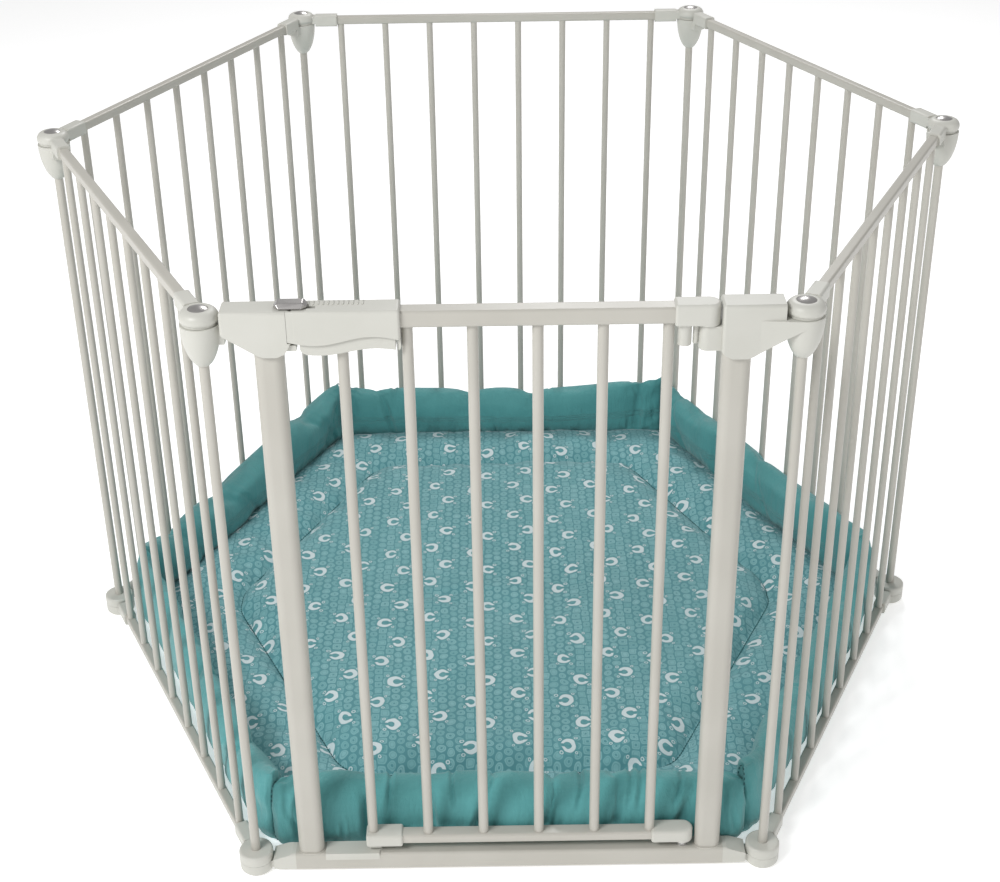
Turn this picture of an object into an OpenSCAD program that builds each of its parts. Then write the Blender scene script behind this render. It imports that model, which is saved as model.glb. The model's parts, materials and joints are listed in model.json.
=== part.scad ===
// Six-sided bar playpen: five hinged bar panels, a front section with a swinging gate,
// and a padded floor mat with an upstanding rim.
// X runs along the gate from the latch to the hinge, Y points to the back panel, Z is up.
// The origin is on the floor, in the middle of the pen.

/* [Pen] */
// Distance between the corner rods of one section
side = 600; // [560:5:640]
// Angle between the gate line and each side panel, 60 for a regular hexagon
corner_angle = 64; // [60:1:66]
// Height of the middle of the panels' top rails
top_rail_z = 719; // [700:1:780]
// Height of the middle of the panels' bottom rails
low_rail_z = 16; // [16:1:18]

/* [Panels] */
// Width and height of the square panel rails
rail_w = 12; // [11:0.5:13]
// Corner radius of the rails
rail_r = 2.5; // [1:0.5:3]
// Diameter of the upright bars
bar_d = 9.5; // [8:0.5:10]
// Bars in each panel
bar_count = 8; // [7:1:9]
// Distance from a corner rod to the first bar
bar_start = 60.6; // [60:0.1:64]

/* [Corners] */
// Diameter of the corner rods
rod_d = 11; // [10:0.5:12]
// Radius of the top knuckles
knuckle_r = 20; // [19:0.1:20]
// Radius of the egg-shaped lower knuckles
egg_r = 20; // [19.5:0.1:20.5]
// Radius of the foot knuckles
foot_r = 20; // [18.5:0.1:20]
// Width and height of the sleeves that grip the rails
sleeve_w = 17; // [16:0.5:18]
// Corner radius of the sleeves
sleeve_r = 3; // [2:0.5:4]
// Diameter of the domed caps
cap_d = 20; // [18:1:22]

/* [Gate] */
// Distance from the pen's middle plane to each gate post
post_x = 233.5; // [233:0.5:234]
// Width of the flattened gate posts
post_w = 30; // [28:1:31]
// Depth of the gate posts
post_d = 20; // [18:1:21]
// Width and height of the square floor rail
floor_rail_w = 24; // [22:1:24]
// Height of the floor rail's underside
floor_rail_z = 3; // [3:0.5:4]
// Depth of the latch and hinge housings
housing_d = 30; // [28:1:30]
// Distance between the gate's bars
leaf_pitch = 65; // [64:0.5:65]
// Diameter of the gate's bars
leaf_bar_d = 11.5; // [10:0.5:12]
// Distance from the middle plane to the gate's hinge axis
hinge_x = 204; // [203:0.5:204]

/* [Mat] */
// Thickness of the mat's padded floor
mat_t = 25; // [20:1:30]
// Height of the rim's top edge
rim_top = 105; // [90:1:120]
// Thickness of the rim
rim_t = 30; // [25:1:35]
// Gap between the panel planes and the mat
mat_gap = 16; // [16:0.5:20]

/* [Hidden] */
$fn = 48;

STEEL = [0.84, 0.82, 0.78];
PLASTIC = [0.88, 0.87, 0.84];
GREY = [0.55, 0.54, 0.54];
ZINC = [0.7, 0.7, 0.7];
TEAL = [0.27, 0.56, 0.57];

// Corner points of the pen, counter-clockwise seen from above.
half_depth = side * sin(corner_angle);
reach = side / 2 + side * cos(corner_angle);
FL = [-side / 2, -half_depth];
FR = [side / 2, -half_depth];
RT = [reach, 0];
BR = [side / 2, half_depth];
BL = [-side / 2, half_depth];
LT = [-reach, 0];
CORNERS = [FL, FR, RT, BR, BL, LT];
gate_y = -half_depth;

// Fits: radial clearance of a turning fit, and the gap between faces that pass each other.
turn_fit = 0.1;
pass_gap = 0.3;

// Heights of the knuckles that turn on the corner rods.
split_z = top_rail_z - 4;
ring_top = top_rail_z + 11.5;
ring_neck = 2.2;
neck_h = 2.6;
belly_h = 7;
ring_round = 8.5;
egg_h = 46;
egg_tip_r = 6;
foot_split = low_rail_z - 0.5;
foot_top = foot_split + 12.5;
foot_round = 5;
rod_end = 3;
cap_z = ring_top - 1;
cap_h = 3.6;
arm_start = 8;
sleeve_start = 22;
sleeve_end = bar_start - bar_d / 2 - 0.8;
rail_start = 28;
bar_pitch = (side - 2 * bar_start) / (bar_count - 1);

// Gate levels and stations.
leaf_z = top_rail_z;
leaf_rail_h = 18;
leaf_rail_d = 20;
leaf_low_z = 44.5;
leaf_low_h = 12;
leaf_low_d = 18;
last_bar_x = 165;
leaf_bars = 6;
first_bar_x = last_bar_x - (leaf_bars - 1) * leaf_pitch;
housing_top = top_rail_z + 12.5;
housing_low = top_rail_z - 16;
latch_face = -213;
hinge_face = 217;
housing_out = side / 2 - knuckle_r - 1.2;
edge_r = 3;
floor_rail_end = 252;
floor_rail_top = floor_rail_z + floor_rail_w;
rail_wall = 1.5;
collar_w = 1.5;
rib_x = -191.5;
rib_pitch = 4.9;
rib_count = 12;
rib_r = 0.9;
shell_right = -101;
shell_wall = 2.5;
shell_wave = [top_rail_z - 24.5, top_rail_z - 15.2, -186, 57];
lever_left = -201;
lever_right = -106;
lever_wave = [top_rail_z - 36.6, top_rail_z - 29.4, -182, 56];
lever_d = 24;
lever_hide = 3.5;
lever_floor = top_rail_z - 27;
lever_pin_x = -114;
lever_pin_z = top_rail_z - 14.5;
pin_half = 13.8;
bolt_z = top_rail_z - 15;
bolt_w = 8;
lip_w = 4;
lip_d = 2.6;
bolt_face = latch_face + lip_w;
bolt_tip = bolt_face - 3;
lever_wire = 0.6;
button_wire = 0.4;
button_x = -203;
button_l = 33;
button_d = 19;
button_h = 5.5;
spring_wall_x = -173;
cap_low = top_rail_z - 11.5;
foot_block_z = 36.5;
foot_block_h = 16.5;
end_drop = 7.5;
end_lift = 3;

// ---------- shared shapes ----------

// Square bar with round edges along X, centred on Y = 0 and z.
module square_bar(x0, x1, z, w, h, r) {
    translate([x0, 0, z]) rotate([90, 0, 90]) linear_extrude(x1 - x0) rounded_rect(w, h, r);
}

module rounded_rect(w, h, r) {
    square([w - 2 * r, h], center = true);
    square([w, h - 2 * r], center = true);
    for (i = [-1, 1], j = [-1, 1])
        translate([i * (w / 2 - r), j * (h / 2 - r)]) circle(r);
}

// Block with every edge rounded; low and high are opposite corners.
module soft_block(low, high, r) {
    s = high - low;
    translate(low + [r, r, 0]) cube([s.x - 2 * r, s.y - 2 * r, s.z]);
    translate(low + [r, 0, r]) cube([s.x - 2 * r, s.y, s.z - 2 * r]);
    translate(low + [0, r, r]) cube([s.x, s.y - 2 * r, s.z - 2 * r]);
    for (x = [low.x + r, high.x - r], y = [low.y + r, high.y - r]) {
        translate([x, y, low.z + r]) cylinder(r = r, h = s.z - 2 * r);
        for (z = [low.z + r, high.z - r]) translate([x, y, z]) sphere(r);
    }
    for (x = [low.x + r, high.x - r], z = [low.z + r, high.z - r])
        translate([x, high.y - r, z]) rotate([90, 0, 0]) cylinder(r = r, h = s.y - 2 * r);
    for (y = [low.y + r, high.y - r], z = [low.z + r, high.z - r])
        translate([low.x + r, y, z]) rotate([0, 90, 0]) cylinder(r = r, h = s.x - 2 * r);
}

// Disc with a round upper edge, standing on z = 0.
module soft_disc(r, h, e) {
    cylinder(r = r, h = h - e);
    cylinder(r = r - e, h = h);
    translate([0, 0, h - e]) rotate_extrude() translate([r - e, 0]) circle(e);
}

// Outline of the egg: a quarter ellipse that ends in a small flat tip.
function egg_outline(steps) = concat(
    [[0, 0], [0, -egg_h]],
    [for (i = [0:steps])
        let (a = 90 * i / steps)
        [egg_tip_r + (egg_r - egg_tip_r) * pow(sin(a), 1.1), -egg_h * cos(a) * (1 - 0.06 * sin(2 * a))]]);

// Outline of the top ring: a short neck, a belly and a domed shoulder.
function ring_outline(r, h) = concat(
    [[0, 0], [r - ring_neck, 0]],
    [for (i = [0:5]) let (a = 90 * i / 5 - 90)
        [r - ring_neck + ring_neck * cos(a), belly_h + (belly_h - neck_h) * sin(a)]],
    [for (i = [1:8]) let (a = 90 * i / 8)
        [r - ring_round + ring_round * cos(a), belly_h + (h - belly_h) * sin(a)]],
    [[0, h]]);

module egg_body() {
    rotate_extrude() polygon(egg_outline(18));
}

// Round wire wound into an open coil along Z; the ends are cut square.
module coil(r, wire, height, turns) {
    sides = 8;
    steps = turns * 16;
    rings = [for (i = [0:steps]) let (a = 360 * turns * i / steps)
        [for (k = [0:sides - 1]) let (b = 360 * k / sides)
            [(r + wire * cos(b)) * cos(a), (r + wire * cos(b)) * sin(a),
             height * i / steps + wire * sin(b)]]];
    polyhedron(
        points = [for (ring = rings) each ring],
        faces = concat(
            [[for (k = [0:sides - 1]) k]],
            [for (i = [0:steps - 1], k = [0:sides - 1])
                [i * sides + k, (i + 1) * sides + k,
                 (i + 1) * sides + (k + 1) % sides, i * sides + (k + 1) % sides]],
            [[for (k = [sides - 1:-1:0]) steps * sides + k]]));
}

// ---------- panel pieces, drawn from a corner rod along +X ----------

module bar_frame() {
    for (z = [low_rail_z, top_rail_z])
        square_bar(rail_start, side - rail_start, z, rail_w, rail_w, rail_r);
    for (i = [0:bar_count - 1])
        translate([bar_start + i * bar_pitch, 0, low_rail_z])
            cylinder(d = bar_d, h = top_rail_z - low_rail_z);
}

// Sleeve that grips the end of a rail at height z.
module sleeve(z) {
    square_bar(sleeve_start, sleeve_end, z, sleeve_w, sleeve_w, sleeve_r);
}

module rail_socket(z) {
    square_bar(rail_start, sleeve_end + 1, z, rail_w, rail_w, rail_r);
}

// Upper knuckle: a ring that turns on the rod above the egg.
module top_knuckle() {
    half = sleeve_w / 2;
    difference() {
        union() {
            translate([0, 0, split_z]) rotate_extrude() polygon(ring_outline(knuckle_r, ring_top - split_z));
            translate([arm_start, -half, split_z])
                cube([sleeve_start - arm_start + 5, sleeve_w, top_rail_z + half - 2 - split_z]);
            sleeve(top_rail_z);
        }
        translate([0, 0, split_z - 1]) cylinder(r = rod_d / 2 + turn_fit, h = ring_top);
        translate([0, 0, cap_z - pass_gap]) cylinder(d = cap_d + 2 * pass_gap, h = cap_h + 5);
        rail_socket(top_rail_z);
    }
}

// Lower knuckle: the egg, fixed to the rod, with an arm that rises to the rail.
module egg_knuckle() {
    half = sleeve_w / 2;
    difference() {
        union() {
            translate([0, 0, split_z - pass_gap]) egg_body();
            translate([arm_start, -half, split_z - pass_gap - 13])
                cube([sleeve_start - arm_start + 5, sleeve_w, 13]);
            sleeve(top_rail_z);
        }
        translate([0, 0, split_z - egg_h - 5]) cylinder(d = rod_d, h = egg_h + 10);
        rail_socket(top_rail_z);
    }
}

// Upper foot ring: turns on the rod above the foot cup.
module foot_ring() {
    half = sleeve_w / 2;
    difference() {
        union() {
            translate([0, 0, foot_split]) soft_disc(foot_r, foot_top - foot_split, 3);
            translate([arm_start, -half, foot_split])
                cube([sleeve_start - arm_start + 5, sleeve_w, low_rail_z + half - 2 - foot_split]);
            sleeve(low_rail_z);
        }
        translate([0, 0, foot_split - 1]) cylinder(r = rod_d / 2 + turn_fit, h = foot_top);
        rail_socket(low_rail_z);
    }
}

// Cup that stands on the floor, with a round lower edge and a blind hole for the rod.
module foot_base() {
    h = foot_split - pass_gap;
    translate([0, 0, h]) mirror([0, 0, 1]) soft_disc(foot_r, h, foot_round);
}

module foot_cup() {
    half = sleeve_w / 2;
    difference() {
        union() {
            foot_base();
            translate([arm_start, -half, low_rail_z - half + 1])
                cube([sleeve_start - arm_start + 5, sleeve_w, foot_split - pass_gap - low_rail_z + half - 1]);
            sleeve(low_rail_z);
        }
        translate([0, 0, rod_end]) cylinder(d = rod_d, h = foot_top);
        rail_socket(low_rail_z);
    }
}

// Corner rod, from the foot cup to just under its cap.
module rod() {
    translate([0, 0, rod_end]) cylinder(d = rod_d, h = cap_z - rod_end);
}

// Domed cap pressed on the rod's top end.
module cap() {
    dome_r = (pow(cap_d / 2, 2) + pow(cap_h - 0.8, 2)) / (2 * (cap_h - 0.8));
    translate([0, 0, cap_z]) {
        cylinder(d = cap_d, h = 0.8);
        intersection() {
            translate([0, 0, 0.8]) cylinder(d = cap_d, h = cap_h);
            translate([0, 0, cap_h - dome_r]) sphere(dome_r, $fn = 96);
        }
    }
}

// Places a panel piece: the rod of corner a at the origin, corner b along +X.
module from_to(a, b) {
    translate([a.x, a.y, 0]) rotate(atan2(b.y - a.y, b.x - a.x)) children();
}

// ---------- gate section, fixed pieces ----------

module gate_floor_rail() {
    color(STEEL) translate([0, gate_y, 0]) difference() {
        union() {
            square_bar(-floor_rail_end, floor_rail_end, floor_rail_z + floor_rail_w / 2,
                floor_rail_w, floor_rail_w, edge_r);
            for (x = [-post_x, post_x])
                translate([x, 0, floor_rail_top - 1]) linear_extrude(2) post_outline(collar_w);
        }
        for (x = [-post_x, post_x])
            translate([x, 0, floor_rail_top]) linear_extrude(5) post_outline(0);
        square_bar(-floor_rail_end - 1, floor_rail_end + 1, floor_rail_z + floor_rail_w / 2,
            floor_rail_w - 2 * rail_wall, floor_rail_w - 2 * rail_wall, edge_r - rail_wall);
        translate([hinge_x, 0, floor_rail_top - 4]) cylinder(d = 8, h = 6);
    }
}

// Flattened tube with half-round edges.
module post(x) {
    translate([x, gate_y, floor_rail_top]) linear_extrude(housing_low - floor_rail_top) post_outline(0);
}

// Outline of a post, grown by g on every side.
module post_outline(g) {
    square([post_w - post_d, post_d + 2 * g], center = true);
    for (i = [-1, 1]) translate([i * (post_w - post_d) / 2, 0]) circle(d = post_d + 2 * g);
}

module latch_post() {
    color(STEEL) post(-post_x);
}

module hinge_post() {
    color(STEEL) post(post_x);
}

// Side outline of a housing, extruded through its depth.
module housing_plate(outline, d) {
    translate([0, d / 2, 0]) rotate([90, 0, 0]) linear_extrude(d) polygon(outline);
}

// Housing on the latch post. Its front edge is cut back for the lip of the gate's shell.
module latch_housing() {
    half = housing_d / 2;
    low = housing_low - 21;
    color(PLASTIC) translate([0, gate_y, 0]) difference() {
        union() {
            intersection() {
                soft_block([-housing_out, -half, low - 10], [bolt_face, half, housing_top], edge_r);
                housing_plate([
                    [-housing_out, housing_top], [-housing_out, housing_low + 4],
                    [-post_x - 14.5, housing_low - 16], [-post_x - 9.5, housing_low - 19],
                    [-post_x - 3.5, low], [-post_x + 9.5, low], [-post_x + 17.5, housing_low - 17],
                    [latch_face, housing_low - 12],
                    [bolt_face, housing_low - 5], [bolt_face, housing_top]],
                    housing_d);
            }
            translate([latch_face - 3, -half + 3, housing_low - 15]) cube([11.5, 12, 6]);
            translate([-side / 2, 0, split_z - pass_gap]) egg_body();
            translate([-side / 2 + arm_start, -5, split_z - pass_gap - 22]) cube([16, 14, 22]);
        }
        translate([-side / 2, 0, split_z - egg_h - 5]) cylinder(d = rod_d, h = egg_h + 10);
        translate([-post_x, 0, housing_low - 30]) linear_extrude(30) post_outline(0);
        translate([latch_face, -half - 1, housing_low - 5.7]) cube([lip_w + 1, lip_d + 1.4, 40]);
        translate([bolt_tip - 0.6, -half - 1, bolt_z - bolt_w / 2 - 0.6])
            cube([lip_w + 2, half + 6, bolt_w + 1.2]);
    }
}

// Housing on the hinge post, drawn as one plate that runs on over the egg.
module hinge_housing() {
    half = housing_d / 2;
    low = housing_low - 30;
    lug_low = housing_low - 23;
    color(PLASTIC) translate([0, gate_y, 0]) difference() {
        union() {
            intersection() {
                soft_block([hinge_face, -half, low - 10], [side / 2 + edge_r, half, housing_top], edge_r);
                housing_plate([
                    [hinge_face, housing_top], [hinge_face, lug_low],
                    [post_x - 11.5, low + 3], [post_x - 5.5, low],
                    [post_x + 10.5, low], [post_x + 16.5, low + 3],
                    [side / 2 - 19, housing_low - 7], [side / 2, housing_low + 4],
                    [side / 2, split_z - pass_gap], [housing_out, split_z - pass_gap],
                    [housing_out, housing_top]],
                    housing_d);
            }
            // the plate's front runs on until it touches the egg's front
            intersection() {
                translate([0, 0, low]) linear_extrude(split_z - pass_gap - low) polygon([
                    [post_x + 20, 0.1 - half], [side / 2 - 2, 0.2 - egg_r],
                    [side / 2 + edge_r, 0.5 - egg_r], [side / 2 + edge_r, 0], [post_x + 20, 0]]);
                housing_plate([
                    [post_x + 16.5, low + 3], [side / 2 - 19, housing_low - 7],
                    [side / 2 + edge_r, housing_low + 5.6], [side / 2 + edge_r, split_z],
                    [post_x + 16.5, split_z]],
                    2 * egg_r + 2);
            }
            translate([hinge_x, 0, lug_low]) linear_extrude(26.5) {
                circle(9);
                translate([0, -9]) square([hinge_face - hinge_x + 3, 18]);
            }
            translate([side / 2, 0, split_z - pass_gap]) egg_body();
        }
        translate([side / 2, 0, split_z - egg_h - 5]) cylinder(d = rod_d, h = egg_h + 10);
        translate([post_x, 0, housing_low - 35]) linear_extrude(35) post_outline(0);
        translate([hinge_x, 0, housing_low - 18]) cylinder(d = 6, h = 40);
    }
}

// Plastic end piece: a plug in the floor rail and the foot cup of the corner.
module rail_end() {
    half = floor_rail_w / 2;
    mid = floor_rail_z + half;
    neck_x = side / 2 - foot_r - 1.2;
    difference() {
        union() {
            square_bar(floor_rail_end - 20, floor_rail_end + 1, mid,
                floor_rail_w - 2 * rail_wall, floor_rail_w - 2 * rail_wall, edge_r - rail_wall);
            intersection() {
                square_bar(floor_rail_end, neck_x, mid, floor_rail_w, floor_rail_w, edge_r);
                housing_plate([
                    [floor_rail_end, floor_rail_z], [floor_rail_end + 4, floor_rail_z],
                    [neck_x, floor_rail_z + end_lift], [neck_x, floor_rail_top - end_drop],
                    [floor_rail_end + 4, floor_rail_top], [floor_rail_end, floor_rail_top]],
                    floor_rail_w + 2);
            }
            translate([neck_x - 6, -half + 3, floor_rail_z + end_lift])
                cube([foot_r, floor_rail_w - 6, foot_split - pass_gap - floor_rail_z - end_lift]);
            translate([side / 2, 0, 0]) foot_base();
        }
        translate([side / 2, 0, rod_end]) cylinder(d = rod_d, h = foot_top);
    }
}

module left_rail_end() {
    color(PLASTIC) translate([0, gate_y, 0]) mirror([1, 0, 0]) rail_end();
}

module right_rail_end() {
    color(PLASTIC) translate([0, gate_y, 0]) rail_end();
}

// Plate on the floor rail with a raised stop behind the closed gate's catch.
module threshold_catch() {
    x0 = -post_x + post_w / 2 + collar_w + 0.5;
    color(PLASTIC) translate([0, gate_y, floor_rail_top]) {
        soft_cover(x0, -149, 1.4);
        translate([x0, -floor_rail_w / 2 - 0.8, -8]) cube([-153 - x0, 0.8, 9.4]);
        translate([x0, -floor_rail_w / 2 - 0.8, 0]) cube([-153 - x0, 6, 1.4]);
        translate([-167, 6.5, 0]) cube([17, 3, 7.5]);
    }
}

// Thin cover plate with a round right-hand end.
module soft_cover(x0, x1, h) {
    r = floor_rail_w / 2 - edge_r;
    translate([x0, -r, 0]) cube([x1 - r - x0, 2 * r, h]);
    translate([x1 - r, 0, 0]) cylinder(r = r, h = h);
}

module upper_hinge_pin() {
    color(ZINC) translate([hinge_x, gate_y, housing_low - 18]) cylinder(d = 6, h = 36);
}

// Pin with a collar that carries the gate's foot.
module lower_hinge_pin() {
    color(ZINC) translate([hinge_x, gate_y, 0]) {
        translate([0, 0, floor_rail_top - 4]) cylinder(d = 8, h = 4);
        translate([0, 0, floor_rail_top]) cylinder(d = 13, h = foot_block_z - pass_gap - floor_rail_top);
        translate([0, 0, foot_block_z - pass_gap]) cylinder(d = 8, h = 12);
    }
}

// ---------- gate leaf ----------

module gate_leaf_frame() {
    color(STEEL) translate([0, gate_y, 0]) {
        square_bar(first_bar_x - 10, 176, leaf_z, leaf_rail_d, leaf_rail_h, edge_r);
        square_bar(first_bar_x + 8, 180, leaf_low_z, leaf_low_d, leaf_low_h, edge_r);
        for (i = [0:leaf_bars - 1])
            translate([first_bar_x + i * leaf_pitch, 0, leaf_low_z])
                cylinder(d = leaf_bar_d, h = leaf_z - leaf_low_z);
    }
}

// Wavy edge: w holds its lowest and highest level, the place of the lowest, and half a wave's length.
function wave(x, w) = (w[0] + w[1]) / 2 - (w[1] - w[0]) / 2 * cos(180 * (x - w[2]) / w[3]);

// Points along a wavy edge from x0 to x1, raised by up.
function wavy(x0, x1, w, up) = [for (i = [0:14]) let (x = x0 + (x1 - x0) * i / 14) [x, wave(x, w) + up]];

// Cross-section of the lip, hanging h down from the origin, with its front edge rounded off.
module lip_side(h) {
    g = 0.05;
    polygon(concat([[g, -h], [lip_d, -h], [lip_d, -g]],
        [for (i = [1:4]) let (a = 22.5 * i)
            [edge_r - (edge_r - g) * sin(a), (edge_r - g) * cos(a) - edge_r]]));
}

module gate_handle_shell() {
    half = housing_d / 2;
    low = shell_wave[0];
    color(PLASTIC) translate([0, gate_y, 0]) difference() {
        union() {
            soft_block([bolt_face + 2 * pass_gap, -half, low - 8], [shell_right, half, housing_top], edge_r);
            // lip over the front of the latch housing
            translate([latch_face + pass_gap, -half, housing_top]) rotate([90, 0, 90])
                linear_extrude(2 * lip_w) lip_side(housing_top - low);
        }
        soft_block([bolt_face + 2 * pass_gap + shell_wall, -half + shell_wall, low - 20],
            [shell_right - shell_wall, half - shell_wall, housing_top - 3], 1.5);
        housing_plate(concat(
            [[latch_face - 1, low - 20]], wavy(latch_face - 1, shell_right - 4, shell_wave, 0),
            [[shell_right - 4, low - 20]]), housing_d + 2);
        for (y = [-half - 1, 10])
            translate([shell_right - 5, y, low - 20]) cube([6, half - 9, 20 + shell_wave[1] - low - 4]);
        // way out for the top rail, the bolt and the button's neck
        square_bar(shell_right - 5, shell_right + 2, leaf_z, leaf_rail_d, leaf_rail_h, edge_r);
        translate([latch_face - 1, -bolt_w / 2 - 0.4, bolt_z - bolt_w / 2 - 0.4])
            cube([10, bolt_w + 0.8, bolt_w + 0.8]);
        translate([button_x - 3, -6, housing_top - 5]) cube([22, 6, 10]);
        translate([lever_pin_x, pin_half, lever_pin_z]) rotate([90, 0, 0]) cylinder(d = 4, h = 2 * pin_half);
    }
    // wall that the button's spring leans on
    color(PLASTIC) translate([spring_wall_x, gate_y - 6, housing_top - 10]) cube([2, 6, 8]);
    // finger ribs on the back half of the top
    color(PLASTIC) for (i = [0:rib_count - 1])
        translate([rib_x + i * rib_pitch, gate_y + 11, housing_top])
            rotate([90, 0, 0]) cylinder(r = rib_r, h = 9.5);
}

module gate_hinge_cap() {
    half = 12;
    color(PLASTIC) translate([0, gate_y, 0]) difference() {
        union() {
            soft_block([170, -half, cap_low], [hinge_x, half, housing_top - 0.5], edge_r);
            translate([hinge_x - edge_r - 1, -half, cap_low + edge_r])
                cube([edge_r + 1, 2 * half, housing_top - 0.5 - cap_low - 2 * edge_r]);
            translate([hinge_x, 0, cap_low]) {
                soft_disc(half, housing_top - 0.5 - cap_low, edge_r);
            }
            translate([181, 0, cap_low - 23]) cylinder(d = 14, h = 25);
            translate([191.9, 0, cap_low - 22]) cylinder(d = 5.6, h = 25);
        }
        square_bar(160, 176, leaf_z, leaf_rail_d, leaf_rail_h, edge_r);
        translate([hinge_x, 0, cap_low - 1]) cylinder(r = 3 + turn_fit, h = 18);
    }
}

module gate_hinge_foot() {
    half = 12;
    color(PLASTIC) translate([0, gate_y, 0]) difference() {
        union() {
            soft_block([167, -half, foot_block_z], [hinge_x, half, foot_block_z + foot_block_h], edge_r);
            translate([hinge_x - edge_r - 1, -half, foot_block_z + edge_r])
                cube([edge_r + 1, 2 * half, foot_block_h - 2 * edge_r]);
            translate([hinge_x, 0, foot_block_z]) soft_disc(half, foot_block_h, edge_r);
        }
        square_bar(160, 180, leaf_low_z, leaf_low_d, leaf_low_h, edge_r);
        translate([last_bar_x, 0, leaf_low_z]) cylinder(d = leaf_bar_d, h = 20);
        translate([hinge_x, 0, foot_block_z - 1]) cylinder(r = 4 + turn_fit, h = 14);
    }
}

// Foot under the gate's free end, with a tooth that meets the threshold stop.
module gate_catch_foot() {
    half = 12;
    color(PLASTIC) translate([0, gate_y, 0]) difference() {
        union() {
            soft_block([first_bar_x - 8, -half, foot_block_z],
                [first_bar_x + 35, half, foot_block_z + foot_block_h], edge_r);
            translate([first_bar_x - 5, -6, foot_block_z - 6]) cube([14, 12, 8]);
        }
        square_bar(first_bar_x + 8, first_bar_x + 40, leaf_low_z, leaf_low_d, leaf_low_h, edge_r);
        translate([first_bar_x, 0, leaf_low_z]) cylinder(d = leaf_bar_d, h = 20);
    }
}

// ---------- latch ----------

module latch_bolt() {
    half = bolt_w / 2;
    color(ZINC) translate([0, gate_y, 0]) difference() {
        translate([bolt_tip, -half, bolt_z - half]) cube([34, bolt_w, bolt_w]);
        translate([bolt_tip - 0.1, half, bolt_z - half - 1]) rotate([0, 0, 45]) cube([8, 3, bolt_w + 2]);
    }
}

// Lever under the handle: a trough that turns up about its pin at the right-hand end.
// Its walls reach a little way up inside the shell.
module grip_lever() {
    half = lever_d / 2;
    right = lever_pin_x - 8;
    outline = concat(
        wavy(lever_left, right, shell_wave, lever_hide),
        [[right, lever_pin_z + 4], [lever_right, lever_pin_z + 4]],
        wavy(lever_right, lever_left + 6, lever_wave, 0),
        [[lever_left + 1.5, wave(lever_left, lever_wave) + 2], [lever_left, wave(lever_left, lever_wave) + 5]]);
    color(PLASTIC) translate([0, gate_y, 0]) difference() {
        housing_plate(outline, lever_d);
        translate([lever_left + 4, -half + 2.5, lever_floor]) cube([82, lever_d - 5, 40]);
        translate([first_bar_x - 9, -7.5, lever_floor - 20]) cube([18, 15, 40]);
        translate([lever_left - 1, -bolt_w / 2 - 1, bolt_z - 14]) cube([6, bolt_w + 2, 20]);
        translate([lever_pin_x, half + 1, lever_pin_z]) rotate([90, 0, 0])
            cylinder(r = 2 + turn_fit, h = lever_d + 2);
    }
}

module grip_lever_pin() {
    color(ZINC) translate([lever_pin_x, gate_y + pin_half, lever_pin_z])
        rotate([90, 0, 0]) cylinder(d = 4, h = 2 * pin_half);
}

// Pushes the lever down, away from the top rail.
module lever_spring() {
    low = lever_floor + lever_wire;
    high = leaf_z - leaf_rail_h / 2 - lever_wire;
    color(ZINC) translate([first_bar_x + 20, gate_y, low]) coil(4, lever_wire, high - low, 5);
}

// Long octagon, a and b from its middle to its sides.
module button_plan(a, b) {
    c = 5;
    polygon([[-a, c - b], [c - a, -b], [a - c, -b], [a, c - b], [a, b - c], [a - c, b], [c - a, b], [-a, b - c]]);
}

// Side outline of the button, with bevelled shoulders.
module button_side(a) {
    polygon([[-a, 0], [a, 0], [a, 1.4], [a - 4, button_h], [4 - a, button_h], [-a, 1.4]]);
}

module slide_button() {
    color(GREY) translate([0, gate_y, 0]) {
        translate([button_x - 5.5, -2, housing_top + rib_r + pass_gap]) intersection() {
            linear_extrude(button_h) button_plan(button_l / 2, button_d / 2);
            rotate([90, 0, 0]) linear_extrude(button_d, center = true) button_side(button_l / 2);
            rotate([90, 0, 90]) linear_extrude(button_l, center = true) button_side(button_d / 2);
        }
        translate([button_x - 2, -5.5, housing_top - 8.5]) cube([8, 5, 11]);
    }
}

// Pushes the button back over the latch housing.
module button_spring() {
    low = button_x + 6 + button_wire;
    high = spring_wall_x - button_wire;
    color(ZINC) translate([low, gate_y - 3, housing_top - 6.2]) rotate([0, 90, 0])
        coil(1.8, button_wire, high - low, 7);
}

// ---------- mat ----------

// Corner i of the pen's outline moved inwards by d.
function inset(i, d) = let (
    p = CORNERS[i], a = CORNERS[(i + 5) % 6], b = CORNERS[(i + 1) % 6],
    u = (a - p) / norm(a - p), v = (b - p) / norm(b - p), w = (u + v) / norm(u + v))
    p + w * d / abs(u.x * w.y - u.y * w.x);

// Point on the inset outline, at distance c from corner i towards corner j.
function edge_point(i, j, d, c) = let (p = inset(i, d), q = inset(j, d)) p + (q - p) / norm(q - p) * c;

corner_cut = 34;

module mat_floor() {
    color(TEAL) linear_extrude(mat_t) polygon([for (i = [0:5], j = [5, 1])
        edge_point(i, (i + j) % 6, mat_gap, corner_cut)]);
}

// Six padded walls, one along each side.
module mat_rim() {
    color(TEAL) for (i = [0:5]) let (j = (i + 1) % 6)
        translate([0, 0, mat_t]) linear_extrude(rim_top - mat_t) polygon([
            edge_point(i, j, mat_gap, corner_cut), edge_point(j, i, mat_gap, corner_cut),
            edge_point(j, i, mat_gap + rim_t, 8), edge_point(i, j, mat_gap + rim_t, 8)]);
}

// ---------- one shape for each node ----------

module steel_at(a, b) { color(STEEL) from_to(a, b) children(); }
module plastic_at(a, b) { color(PLASTIC) from_to(a, b) children(); }
module cap_at(a) { color(GREY) translate([a.x, a.y, 0]) cap(); }
module rod_at(a) { color(STEEL) translate([a.x, a.y, 0]) rod(); }

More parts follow.
